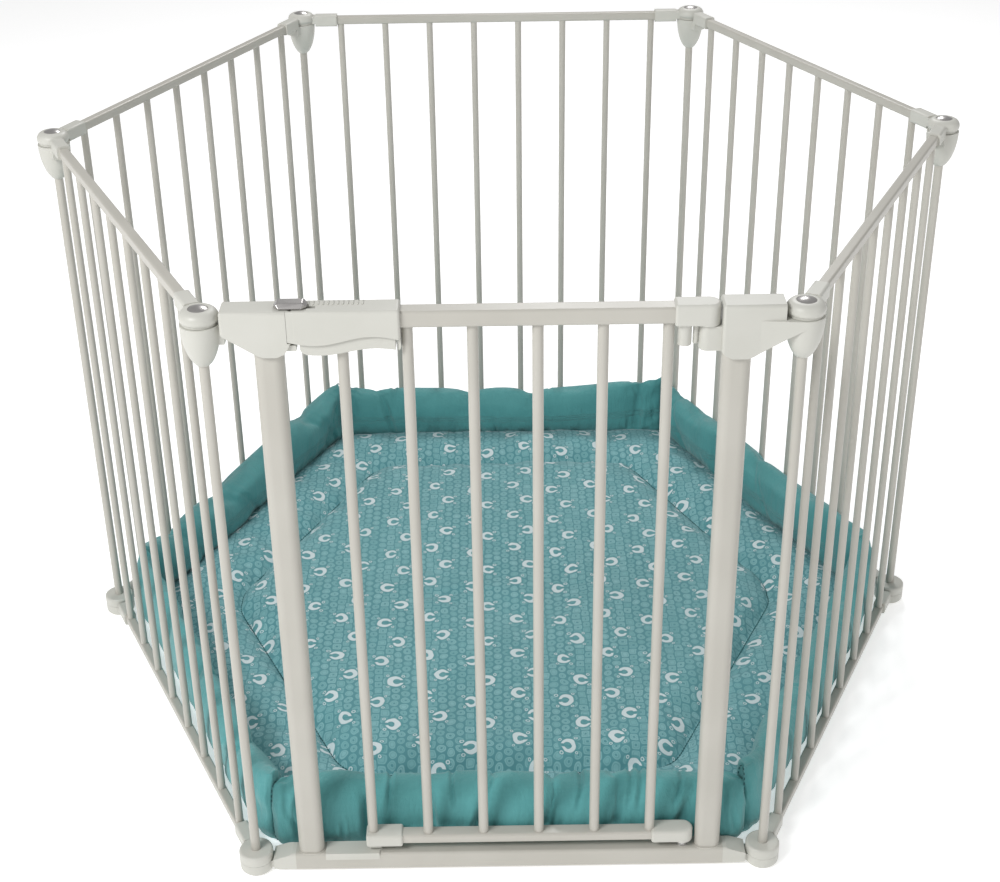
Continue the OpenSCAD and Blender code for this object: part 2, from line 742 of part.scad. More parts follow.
gate_floor_rail();
latch_post();
hinge_post();
latch_housing();
hinge_housing();
left_rail_end();
right_rail_end();
threshold_catch();
upper_hinge_pin();
lower_hinge_pin();
rod_at(FL);  // front_left_rod
rod_at(FR);  // front_right_rod
cap_at(FL);  // front_left_cap
cap_at(FR);  // front_right_cap
gate_leaf_frame();
gate_handle_shell();
gate_hinge_cap();
gate_hinge_foot();
gate_catch_foot();
latch_bolt();
grip_lever();
grip_lever_pin();
lever_spring();
slide_button();
button_spring();
steel_at(FL, LT) bar_frame();  // left_front_panel
plastic_at(FL, LT) top_knuckle();  // left_front_top_knuckle
plastic_at(LT, FL) egg_knuckle();  // left_front_egg_knuckle
plastic_at(FL, LT) foot_ring();  // left_front_foot_ring
plastic_at(LT, FL) foot_cup();  // left_front_foot_cup
steel_at(LT, BL) bar_frame();  // left_back_panel
plastic_at(LT, BL) top_knuckle();  // left_back_top_knuckle
plastic_at(BL, LT) egg_knuckle();  // left_back_egg_knuckle
plastic_at(LT, BL) foot_ring();  // left_back_foot_ring
plastic_at(BL, LT) foot_cup();  // left_back_foot_cup
steel_at(BL, BR) bar_frame();  // back_panel
plastic_at(BL, BR) top_knuckle();  // back_left_knuckle
plastic_at(BR, BL) top_knuckle();  // back_right_knuckle
plastic_at(BL, BR) foot_ring();  // back_left_foot
plastic_at(BR, BL) foot_ring();  // back_right_foot
steel_at(FR, RT) bar_frame();  // right_front_panel
plastic_at(FR, RT) top_knuckle();  // right_front_top_knuckle
plastic_at(RT, FR) egg_knuckle();  // right_front_egg_knuckle
plastic_at(FR, RT) foot_ring();  // right_front_foot_ring
plastic_at(RT, FR) foot_cup();  // right_front_foot_cup
steel_at(RT, BR) bar_frame();  // right_back_panel
plastic_at(RT, BR) top_knuckle();  // right_back_top_knuckle
plastic_at(BR, RT) egg_knuckle();  // right_back_egg_knuckle
plastic_at(RT, BR) foot_ring();  // right_back_foot_ring
plastic_at(BR, RT) foot_cup();  // right_back_foot_cup
rod_at(LT);  // left_rod
rod_at(RT);  // right_rod
rod_at(BL);  // back_left_rod
rod_at(BR);  // back_right_rod
cap_at(LT);  // left_cap
cap_at(RT);  // right_cap
cap_at(BL);  // back_left_cap
cap_at(BR);  // back_right_cap
mat_floor();
mat_rim();
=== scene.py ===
"""Looks for the six-sided bar playpen: coated steel, moulded plastic and a padded, printed mat."""
import json
import math
import random
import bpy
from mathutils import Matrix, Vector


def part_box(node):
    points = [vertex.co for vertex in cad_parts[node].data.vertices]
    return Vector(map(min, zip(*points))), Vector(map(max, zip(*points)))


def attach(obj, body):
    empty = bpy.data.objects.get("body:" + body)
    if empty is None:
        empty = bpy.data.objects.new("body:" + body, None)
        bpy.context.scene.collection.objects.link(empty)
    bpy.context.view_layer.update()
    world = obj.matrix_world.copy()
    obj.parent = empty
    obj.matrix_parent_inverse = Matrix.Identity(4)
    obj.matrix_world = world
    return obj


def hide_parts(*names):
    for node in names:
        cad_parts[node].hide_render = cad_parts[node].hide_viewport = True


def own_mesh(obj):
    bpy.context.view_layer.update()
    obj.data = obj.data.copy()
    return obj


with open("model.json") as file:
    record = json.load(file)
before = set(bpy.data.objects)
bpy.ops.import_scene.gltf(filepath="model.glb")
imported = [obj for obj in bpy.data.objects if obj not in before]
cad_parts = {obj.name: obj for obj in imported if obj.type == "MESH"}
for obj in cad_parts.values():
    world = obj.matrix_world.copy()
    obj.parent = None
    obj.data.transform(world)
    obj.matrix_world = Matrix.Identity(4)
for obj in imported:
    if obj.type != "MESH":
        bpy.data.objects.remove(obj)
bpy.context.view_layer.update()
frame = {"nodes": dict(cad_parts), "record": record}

from types import SimpleNamespace

import bpy
import numpy as np
from mathutils import Euler, Matrix, Vector, noise

MM = 0.001
scene = bpy.context.scene

# Edges of the moulded plastic pieces.
WELD_GAP = 0.01 * MM
EDGE_WIDTH = 0.7 * MM
EDGE_ANGLE = math.radians(32)

# Rim walls of the mat, in metres.
WALL_T = 0.030            # thickness
WALL_FOOT = 0.005         # height of the lower edge
WALL_AROUND = 36          # points round the section
WALL_SEED = 40
SQUARENESS = 0.72, 0.70   # of the section, across and upwards; 1 is an ellipse
CREST_ROOM = 0.007        # left under the rim's top for the waves of its crest
WAVE_HEIGHT = 0.010       # of the crest
SWAY = 0.004              # of the crest, inwards and outwards
FOOT_SPREAD = 0.0030      # extra half thickness at the foot
LUMP_DEPTH = 0.0022
CORNER_IN = 0.007         # how far the wall's ends are drawn in
UV_STAGGER = 0.9          # keeps each wall on its own stretch of cloth
UV_AROUND = 0.26
LONG_CREASE = 0.0048      # width of the crease along a fold
SMALL_CREASE = 0.0026     # width of those beside it
END_CREASE = 0.0030       # width of those near the wall's ends
END_CREASES = 5
CREASE_REACH = 0.06       # along the wall

# How a wall is gathered. The front one is bunched into deep upright folds, the others wave gently.
FRONT_WALL = SimpleNamespace(
    steps=150, fold_least=0.052, fold_most=0.082, fold_depth=0.0185, fold_width=0.014, sharpness=0.95,
    pull_foot=1.05, pull_rise=-0.55, plump=0.0190, wave=8, end_rise=0.0, dip=0.004,
    lean=0.005, lean_top=0.010, small_creases=3, press=0.0068)
OTHER_WALL = SimpleNamespace(
    steps=110, fold_least=0.11, fold_most=0.19, fold_depth=0.0075, fold_width=0.020, sharpness=1.3,
    pull_foot=0.35, pull_rise=0.65, plump=0.0140, wave=5.5, end_rise=0.010, dip=0.007,
    lean=0.0, lean_top=0.0, small_creases=1, press=0.0032)

# Floor pad, in metres.
SEAM_IN = 0.150           # from the panels' planes to the sewn line
PAD_TUCK = 0.018          # how far the pad's edge lies under the walls
PAD_PER_SIDE = 48         # points along one side
PAD_UNDER = 0.0012        # height of the underside
PAD_EDGE = 0.0065         # height at the edge and along the sewn line
PAD_PUFF = 0.0160         # how far the padding rises above that
RING_STEP = 0.0085        # between rings outside the sewn line
INNER_STEP = 0.0090       # between rings inside it
NEAR_SEAM = 0.0028, 0.0060, 0.010    # rings close to the sewn line, on both its sides
MIDDLE_ROOM = 0.020       # inside the last ring

# Stitches, in metres: length, gap and half thickness.
PAD_STITCH = (0.0040, 0.0012, 0.0011)
RIM_STITCH = (0.0040, 0.0030, 0.0009)
STITCH_SIDES = 6
CAPSULE = ((0.0, 0.35), (0.2, 0.9), (0.8, 0.9), (1.0, 0.35))    # share of its length, of its thickness
STITCH_LIFT = 0.0008      # height of the pad's stitches above the sewn line
STITCH_SINK = 0.0022      # how far the rim's stitches lie inside the wall's end

# The print, in millimetres.
THREAD_PITCH = 0.6
SMALL_MOTIF = (12.4, 13.6)
COLUMN_PITCH = 62.0
MOTIF_PITCH = 45.0
ZIGZAG = 21.0
SATELLITES = ((11.0, 10.5, 2.9), (-9.5, 11.5, 2.6), (10.5, -11.0, 2.7), (-8.5, -12.0, 2.4))


# ---------- node materials ----------

class Shade:
    """A Principled material and a few helpers that join nodes to it."""

    def __init__(self, name):
        self.mat = bpy.data.materials.new(name)
        self.mat.use_nodes = True
        self.tree = self.mat.node_tree
        self.bsdf = self.tree.nodes["Principled BSDF"]

    def node(self, kind, **settings):
        n = self.tree.nodes.new("ShaderNode" + kind)
        for k, v in settings.items():
            setattr(n, k, v)
        return n

    def join(self, a, b):
        self.tree.links.new(a, b)

    def feed(self, socket, value):
        if hasattr(value, "is_linked"):
            self.join(value, socket)
        else:
            socket.default_value = value

    def calc(self, op, a, b=0.0, c=0.0):
        n = self.node("Math", operation=op)
        for s, v in zip(n.inputs, (a, b, c)):
            self.feed(s, v)
        return n.outputs[0]

    def step(self, value, low, high):
        """0 below low, 1 above high, smooth between."""
        n = self.node("MapRange", interpolation_type="SMOOTHSTEP")
        self.feed(n.inputs["Value"], value)
        n.inputs["From Min"].default_value = low
        n.inputs["From Max"].default_value = high
        return n.outputs[0]

    def blend(self, share, a, b):
        n = self.node("Mix", data_type="RGBA")
        self.feed(n.inputs["Factor"], share)
        for s, v in ((n.inputs[6], a), (n.inputs[7], b)):
            self.feed(s, v if hasattr(v, "is_linked") else (*v, 1))
        return n.outputs[2]

    def noise(self, scale, detail=3.0, rough=0.5, where=None, ratio=(1, 1, 1)):
        n = self.node("TexNoise")
        n.inputs["Scale"].default_value = scale
        n.inputs["Detail"].default_value = detail
        n.inputs["Roughness"].default_value = rough
        m = self.node("Mapping")
        m.inputs["Scale"].default_value = ratio
        self.join(where or self.node("TexCoord").outputs["Object"], m.inputs["Vector"])
        self.join(m.outputs[0], n.inputs["Vector"])
        return n.outputs["Fac"]

    def bump(self, height, strength, distance, below=None):
        n = self.node("Bump")
        n.inputs["Strength"].default_value = strength
        n.inputs["Distance"].default_value = distance
        self.feed(n.inputs["Height"], height)
        if below:
            self.join(below, n.inputs["Normal"])
        return n.outputs[0]

    def finish(self, colour, rough, normal=None, **plain):
        self.feed(self.bsdf.inputs["Base Color"], colour)
        self.feed(self.bsdf.inputs["Roughness"], rough)
        if normal:
            self.join(normal, self.bsdf.inputs["Normal"])
        for k, v in plain.items():
            self.bsdf.inputs[k.replace("_", " ")].default_value = v
        return self.mat


def between(s, value, low, high):
    """Scales a value from 0 to 1 to one from low to high."""
    return s.calc("MULTIPLY_ADD", value, high - low, low)


def powder_coat():
    s = Shade("powder_coat")
    patches = s.step(s.noise(9, 4), 0.35, 0.7)
    colour = s.blend(patches, (0.468, 0.452, 0.405), (0.498, 0.482, 0.435))
    peel = s.noise(900, 2)
    grain = s.noise(3200, 2)
    normal = s.bump(grain, 0.10, 0.0001, s.bump(peel, 0.16, 0.0002))
    return s.finish(colour, between(s, patches, 0.34, 0.42), normal, Specular_IOR_Level=0.5)


def moulded():
    s = Shade("moulded_plastic")
    patches = s.step(s.noise(14, 4), 0.3, 0.75)
    colour = s.blend(patches, (0.545, 0.542, 0.495), (0.580, 0.576, 0.530))
    normal = s.bump(s.noise(2600, 3), 0.14, 0.0001)
    return s.finish(colour, between(s, patches, 0.38, 0.48), normal, Specular_IOR_Level=0.45)


def metallic_plastic():
    s = Shade("metallic_plastic")
    flakes = s.step(s.noise(5200, 1), 0.5, 0.75)
    colour = s.blend(flakes, (0.430, 0.415, 0.405), (0.620, 0.605, 0.590))
    brushed = s.noise(500, 2, ratio=(0.1, 1, 1))
    normal = s.bump(brushed, 0.06, 0.0001)
    return s.finish(colour, between(s, s.noise(60), 0.28, 0.38), normal,
                    Metallic=0.85, Coat_Weight=0.5, Coat_Roughness=0.14)


def zinc():
    s = Shade("zinc_plate")
    spangle = s.node("TexVoronoi")
    spangle.inputs["Scale"].default_value = 420
    colour = s.blend(spangle.outputs["Distance"], (0.50, 0.50, 0.51), (0.66, 0.66, 0.66))
    normal = s.bump(s.noise(700, 2, ratio=(1, 1, 0.08)), 0.12, 0.0001)
    return s.finish(colour, between(s, s.noise(200), 0.28, 0.42), normal, Metallic=1.0)


def woven(s, where, strength):
    """Plain weave as a bump."""
    sep = s.node("SeparateXYZ")
    s.join(where, sep.inputs[0])
    threads = []
    for k in (0, 1):
        t = s.calc("MULTIPLY", sep.outputs[k], math.pi / (THREAD_PITCH * MM))
        threads.append(s.calc("SINE", t))
    cross = s.calc("MULTIPLY", threads[0], threads[1])
    return s.bump(cross, strength, 0.00012)


def uv(s, name):
    return s.node("UVMap", uv_map=name).outputs[0]


def rim_cloth():
    s = Shade("rim_cloth")
    where = uv(s, "cloth")
    cloudy = s.noise(14, 5, 0.6)
    slub = s.noise(260, 2, where=where, ratio=(0.15, 1, 1))
    colour = s.blend(s.step(cloudy, 0.3, 0.7), (0.066, 0.285, 0.292), (0.088, 0.340, 0.346))
    colour = s.blend(s.calc("MULTIPLY", slub, 0.35), colour, (0.115, 0.390, 0.395))
    crease = s.noise(26, 5, 0.62, where=where, ratio=(1.6, 0.55, 1))
    normal = s.bump(crease, 0.7, 0.006, woven(s, where, 0.6))
    return s.finish(colour, 0.72, normal, Sheen_Weight=0.25, Sheen_Roughness=0.5)


def thread_cloth():
    s = Shade("sewing_thread")
    twist = s.noise(2400, 2, ratio=(1, 0.3, 1))
    colour = s.blend(twist, (0.014, 0.085, 0.095), (0.030, 0.140, 0.150))
    return s.finish(colour, between(s, twist, 0.55, 0.7), s.bump(twist, 0.3, 0.0001))


def printed_cloth():
    """Small rings and soft squares in rows, with zigzag columns of pale horseshoes."""
    s = Shade("printed_cloth")
    where = uv(s, "cloth")
    sep = s.node("SeparateXYZ")
    s.join(where, sep.inputs[0])
    across, along = (s.calc("MULTIPLY", sep.outputs[k], 1 / MM) for k in (0, 1))
    x = s.calc("MULTIPLY_ADD", s.noise(42, 2, where=where), 9.0, across)
    y = s.calc("MULTIPLY_ADD", s.noise(38, 2, where=where), 8.0, along)

    def cells(px, py, u, v, stagger):
        """Cell numbers and the place within a cell, from -0.5 to 0.5."""
        a = s.calc("DIVIDE", u, px)
        i = s.calc("FLOOR", a)
        odd = s.calc("MODULO", s.calc("ABSOLUTE", i), 2.0)
        b = s.calc("MULTIPLY_ADD", odd, stagger, s.calc("DIVIDE", v, py))
        j = s.calc("FLOOR", b)
        fx = s.calc("SUBTRACT", s.calc("SUBTRACT", a, i), 0.5)
        fy = s.calc("SUBTRACT", s.calc("SUBTRACT", b, j), 0.5)
        return i, j, fx, fy

    def chance(i, j, seed):
        n = s.node("TexWhiteNoise", noise_dimensions="3D")
        c = s.node("CombineXYZ")
        s.join(i, c.inputs[0])
        s.join(j, c.inputs[1])
        c.inputs[2].default_value = seed
        s.join(c.outputs[0], n.inputs[0])
        return n.outputs["Value"]

    def round_d(dx, dy):
        return s.calc("SQRT", s.calc("ADD", s.calc("POWER", dx, 2.0), s.calc("POWER", dy, 2.0)))

    def square_d(dx, dy):
        p = s.calc("ADD", s.calc("POWER", s.calc("ABSOLUTE", dx), 5.0),
                   s.calc("POWER", s.calc("ABSOLUTE", dy), 5.0))
        return s.calc("POWER", p, 0.2)

    # small motifs, rings and squares in bands of columns
    i, j, fx, fy = cells(*SMALL_MOTIF, x, y, 0.5)
    kind = s.step(s.calc("MODULO", s.calc("ABSOLUTE", i), 5.0), 2.4, 2.6)
    d = s.calc("ADD", s.calc("MULTIPLY", round_d(fx, fy), s.calc("SUBTRACT", 1.0, kind)),
               s.calc("MULTIPLY", square_d(fx, fy), kind))
    fill = s.calc("SUBTRACT", 1.0, s.step(d, 0.40, 0.46))
    eye = s.calc("SUBTRACT", 1.0, s.step(d, 0.10, 0.16))
    ring = s.calc("MULTIPLY", s.step(d, 0.22, 0.26), s.calc("SUBTRACT", 1.0, s.step(d, 0.28, 0.33)))
    ground, mid, light = (0.085, 0.275, 0.305), (0.160, 0.390, 0.415), (0.235, 0.475, 0.500)
    tone = s.blend(chance(i, j, 4.5), mid, light)
    colour = s.blend(fill, ground, tone)
    colour = s.blend(s.calc("MULTIPLY", ring, 0.55), colour, ground)
    colour = s.blend(s.calc("MULTIPLY", eye, s.step(chance(i, j, 7.5), 0.3, 0.4)), colour, ground)

    # pale horseshoes in zigzag columns
    i, j, fx, fy = cells(COLUMN_PITCH, MOTIF_PITCH, x, y, 0.33)
    zig = s.calc("SUBTRACT", s.calc("MODULO", s.calc("ABSOLUTE", j), 2.0), 0.5)
    mx = s.calc("SUBTRACT", s.calc("MULTIPLY", fx, COLUMN_PITCH), s.calc("MULTIPLY", zig, ZIGZAG))
    side = s.calc("SIGN", s.calc("SUBTRACT", chance(i, j, 2.5), 0.5))
    mx = s.calc("MULTIPLY", mx, side)
    my = s.calc("MULTIPLY", fy, MOTIF_PITCH)
    body = round_d(s.calc("DIVIDE", mx, 10.2), s.calc("DIVIDE", my, 11.4))
    hole = round_d(s.calc("DIVIDE", s.calc("SUBTRACT", mx, 1.4), 4.9), s.calc("DIVIDE", my, 5.2))
    gap = round_d(s.calc("DIVIDE", s.calc("SUBTRACT", mx, 7.5), 6.0), s.calc("DIVIDE", my, 2.9))
    pale = s.calc("SUBTRACT", 1.0, s.step(body, 0.90, 1.0))
    for cut in (hole, gap):
        pale = s.calc("MULTIPLY", pale, s.step(cut, 0.92, 1.08))
    halo = s.calc("SUBTRACT", 1.0, s.step(body, 1.22, 1.36))
    for cx, cy, r in SATELLITES:
        dot = round_d(s.calc("SUBTRACT", mx, cx), s.calc("SUBTRACT", my, cy))
        inside = s.calc("SUBTRACT", 1.0, s.step(dot, r * 0.85, r))
        loop = s.calc("MULTIPLY", s.step(dot, r * 0.35, r * 0.55), inside)
        pale = s.calc("MAXIMUM", pale, s.calc("MULTIPLY", loop, 0.8))
        halo = s.calc("MAXIMUM", halo, s.calc("SUBTRACT", 1.0, s.step(dot, r * 1.2, r * 1.5)))
    colour = s.blend(s.calc("MULTIPLY", halo, 0.75), colour, (0.085, 0.290, 0.315))
    pale_tone = s.blend(s.noise(700, 2, where=where), (0.56, 0.68, 0.70), (0.76, 0.82, 0.84))
    colour = s.blend(pale, colour, pale_tone)
    faded = s.step(s.noise(5, 4, 0.6, where=where), 0.35, 0.75)
    colour = s.blend(s.calc("MULTIPLY", faded, 0.16), colour, (0.20, 0.46, 0.49))
    normal = s.bump(s.noise(34, 4, 0.6, where=where), 0.35, 0.003, woven(s, where, 0.5))
    return s.finish(colour, 0.8, normal, Sheen_Weight=0.15, Sheen_Roughness=0.5)


MATERIALS = {
    "cream_steel": powder_coat(),
    "cream_plastic": moulded(),
    "silver_grey_plastic": metallic_plastic(),
    "zinc_steel": zinc(),
    "mat_fabric": rim_cloth(),
}
PRINT = printed_cloth()

for part in frame["record"]["subparts"]:
    obj = frame["nodes"][part["node"]]
    obj.data.materials.clear()
    obj.data.materials.append(MATERIALS[part["material_slot"]])
    if part["material_slot"] in ("cream_plastic", "silver_grey_plastic"):
        weld = obj.modifiers.new("weld", "WELD")
        weld.merge_threshold = WELD_GAP
        bevel = obj.modifiers.new("soft_edges", "BEVEL")
        bevel.width = EDGE_WIDTH
        bevel.segments = 3
        bevel.limit_method = "ANGLE"
        bevel.angle_limit = EDGE_ANGLE
        bevel.harden_normals = True


# ---------- mat ----------

RODS = ("front_left_rod", "front_right_rod", "right_rod", "back_right_rod", "back_left_rod", "left_rod")


def middle(node):
    lo, hi = (Vector(c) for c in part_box(node))
    return (lo + hi) / 2


CORNERS = [middle(n).to_2d() for n in RODS]
GAP = Vector(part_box("mat_floor")[0]).y - CORNERS[0].y    # from the panels' planes to the mat
RIM_TOP = Vector(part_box("mat_rim")[1]).z


def inset(i, d):
    """Corner i of the pen's outline, moved inwards by d."""
    p, a, b = CORNERS[i], CORNERS[i - 1], CORNERS[(i + 1) % 6]
    u, v = (a - p).normalized(), (b - p).normalized()
    w = (u + v).normalized()
    return p + w * d / abs(u.x * w.y - u.y * w.x)


def new_piece(name, verts, faces, uvs, material):
    mesh = bpy.data.meshes.new(name)
    mesh.from_pydata([tuple(v) for v in verts], [], faces)
    mesh.update()
    obj = bpy.data.objects.new(name, mesh)
    scene.collection.objects.link(obj)
    if uvs is not None:
        layer = mesh.uv_layers.new(name="cloth")
        for loop in mesh.loops:
            layer.data[loop.index].uv = uvs[loop.vertex_index]
    mesh.materials.append(material)
    for p in mesh.polygons:
        p.use_smooth = True
    return obj


def between_rings(rings, n, first=0):
    """Faces between rings of n points, which follow each other from point number first."""
    faces = []
    for lo in range(first, first + (rings - 1) * n, n):
        for k in range(n):
            m = (k + 1) % n
            faces.append((lo + k, lo + m, lo + n + m, lo + n + k))
    return faces


def closed_rings(rings, n, first=0):
    """The same, with both ends closed."""
    last = first + (rings - 1) * n
    ends = [tuple(first + k for k in range(n - 1, -1, -1)), tuple(last + k for k in range(n))]
    return between_rings(rings, n, first) + ends


def apply_modifiers(obj):
    dg = bpy.context.evaluated_depsgraph_get()
    dg.update()
    done = bpy.data.meshes.new_from_object(obj.evaluated_get(dg), depsgraph=dg)
    obj.modifiers.clear()
    obj.data = done


def relax(obj, pins, pressure, grow, cap, frames):
    """Blows the closed cloth up a little, with pins (0 to 1 for each point) held, then keeps each
    point within cap of where it began."""
    before = np.array([v.co for v in obj.data.vertices])
    group = obj.vertex_groups.new(name="pin")
    for i, w in enumerate(pins):
        if w > 0:
            group.add([i], w, "REPLACE")
    cloth = obj.modifiers.new("cloth", "CLOTH")
    c = cloth.settings
    c.quality = 6
    c.mass = 0.25
    c.tension_stiffness = c.compression_stiffness = 18
    c.shear_stiffness = 8
    c.bending_stiffness = 0.4
    c.use_pressure = True
    c.uniform_pressure_force = pressure
    c.vertex_group_mass = "pin"
    c.shrink_min = grow
    c.effector_weights.gravity = 0
    cloth.point_cache.frame_start, cloth.point_cache.frame_end = 1, frames
    for f in range(1, frames + 1):
        scene.frame_set(f)
    apply_modifiers(obj)
    after = np.array([v.co for v in obj.data.vertices])
    step = after - before
    length = np.linalg.norm(step, axis=1, keepdims=True)
    after = before + step * np.minimum(1, cap / np.maximum(length, 1e-9))
    obj.data.vertices.foreach_set("co", after.ravel())
    obj.data.update()
    scene.frame_set(1)


def soft_folds(rng, run, least, most):
    """Upright creases: place along the wall, depth, slant and width of each."""
    out, x = [], rng.uniform(0.4, 0.8) * least
    while x < run - 0.4 * least:
        out.append((x, rng.uniform(0.5, 1.0), rng.uniform(-0.2, 0.8) * least, rng.uniform(0.8, 1.3)))
        x += rng.uniform(least, most)
    return out


def crease_lines(rng, folds, run, small):
    """One long crease in each fold, some small ones beside it, and a few near each end of the wall.
    Each has its place along the wall, slant, middle level, half height, width and strength."""
    lines = []
    for at, deep, slant, _ in folds:
        lines.append((at, -slant, 0.42, 0.50, LONG_CREASE, deep))
        for _ in range(small):
            lines.append((at + rng.uniform(-0.03, 0.03), -slant + rng.uniform(-0.03, 0.03),
                          rng.choice((0.25, 0.35, 0.8)), rng.uniform(0.18, 0.34), SMALL_CREASE,
                          rng.uniform(0.35, 0.8)))
    for _ in range(END_CREASES):
        for at in (rng.uniform(0.006, 0.05), run - rng.uniform(0.006, 0.05)):
            lines.append((at, rng.uniform(-0.05, 0.05), rng.uniform(0.3, 0.8), 0.25, END_CREASE,
                          rng.uniform(0.3, 0.7)))
    return lines


def crease(obj, start, along, lines, depth):
    """Presses narrow creases into a wall, after the cloth."""
    mesh = obj.data
    normals = [v.normal.copy() for v in mesh.vertices]
    for v, normal in zip(mesh.vertices, normals):
        x, level = (v.co.to_2d() - start).dot(along), v.co.z / RIM_TOP
        press = 0.0
        for at, slant, mid, tall, wide, deep in lines:
            if abs(level - mid) > tall or abs(x - at) > CREASE_REACH:
                continue
            u = (x + slant * (level - 0.5) - at) / wide
            if abs(u) > 4:
                continue
            taper = math.cos(math.pi / 2 * (level - mid) / tall) ** 1.5
            valley = math.exp(-abs(u) ** 1.1)
            shoulder = math.exp(-((abs(u) - 1.9) / 0.9) ** 2)
            press += deep * taper * (valley - 0.45 * shoulder)
        v.co -= normal * depth * press
    mesh.update()


def rim_wall(i):
    """Padded wall from corner i to the next, as rings of points round its section. Returns the
    piece and the sewn line at its start."""
    j = (i + 1) % 6
    look = FRONT_WALL if i == 0 else OTHER_WALL
    steps, around = look.steps, WALL_AROUND
    rng = random.Random(WALL_SEED + i)
    middle_in = GAP + WALL_T / 2
    start, end = inset(i, middle_in), inset(j, middle_in)
    run = (end - start).length
    folds = soft_folds(rng, run, look.fold_least, look.fold_most)
    height = RIM_TOP - CREST_ROOM
    verts, uvs, pins = [], [], []
    for s in range(steps + 1):
        x = run * s / steps
        ends = min(x, run - x)
        seam = math.exp(-(ends / 0.010) ** 1.4)
        near = math.exp(-(ends / 0.030) ** 1.5)
        for k in range(around):
            q = 2 * math.pi * k / around
            c, sn = math.cos(q), math.sin(q)
            side = math.copysign(abs(c) ** SQUARENESS[0], c)
            up = math.copysign(abs(sn) ** SQUARENESS[1], sn)
            level = (up + 1) / 2
            pull = 0.0
            for at, deep, slant, wide in folds:
                u = abs(x - slant * (level - 0.4) - at) / (look.fold_width * wide)
                pull += deep * math.exp(-u ** look.sharpness)
            pull *= min(1, ends / 0.04) * (look.pull_foot + look.pull_rise * level)
            wave = noise.noise(Vector((x * look.wave, i * 7.1, 0.3)))
            crest = (WAVE_HEIGHT * wave + look.end_rise * near) * level ** 2
            crest -= pull * look.dip * level ** 3
            z = WALL_FOOT + (height - WALL_FOOT) * level + crest
            lumps = noise.noise(Vector((x * 11, z * 14, i * 3.3)))
            belly = look.plump + FOOT_SPREAD * (1 - level) + LUMP_DEPTH * lumps
            across = side * (belly * (1 - 0.55 * seam) - look.fold_depth * pull)
            lean = SWAY * noise.noise(Vector((x * 4, 2.2, i * 5.0))) * level
            lean += (look.lean + look.lean_top * level ** 2) * min(1, ends / 0.05)
            d = middle_in + across + lean + CORNER_IN * math.exp(-(ends / 0.022) ** 2)
            p = inset(i, d).lerp(inset(j, d), s / steps)
            verts.append(Vector((p.x, p.y, z)))
            uvs.append((x + i * UV_STAGGER, k / around * UV_AROUND))
            pins.append(1.0 if s in (0, steps) else (0.85 if level < 0.03 else 0.0))
    faces = closed_rings(steps + 1, around)
    obj = new_piece(f"rim_wall_{i + 1}", verts, faces, uvs, MATERIALS["mat_fabric"])
    heart = sum((verts[k] for k in range(around)), Vector()) / around
    edge = [verts[k] + (heart - verts[k]).normalized() * STITCH_SINK for k in range(around)]
    relax(obj, pins, pressure=3.0, grow=-0.04, cap=0.010, frames=16)
    sub = obj.modifiers.new("smooth", "SUBSURF")
    sub.levels = sub.render_levels = 1
    apply_modifiers(obj)
    lines = crease_lines(rng, folds, run, look.small_creases)
    crease(obj, start, (end - start).normalized(), lines, look.press)
    return obj, edge


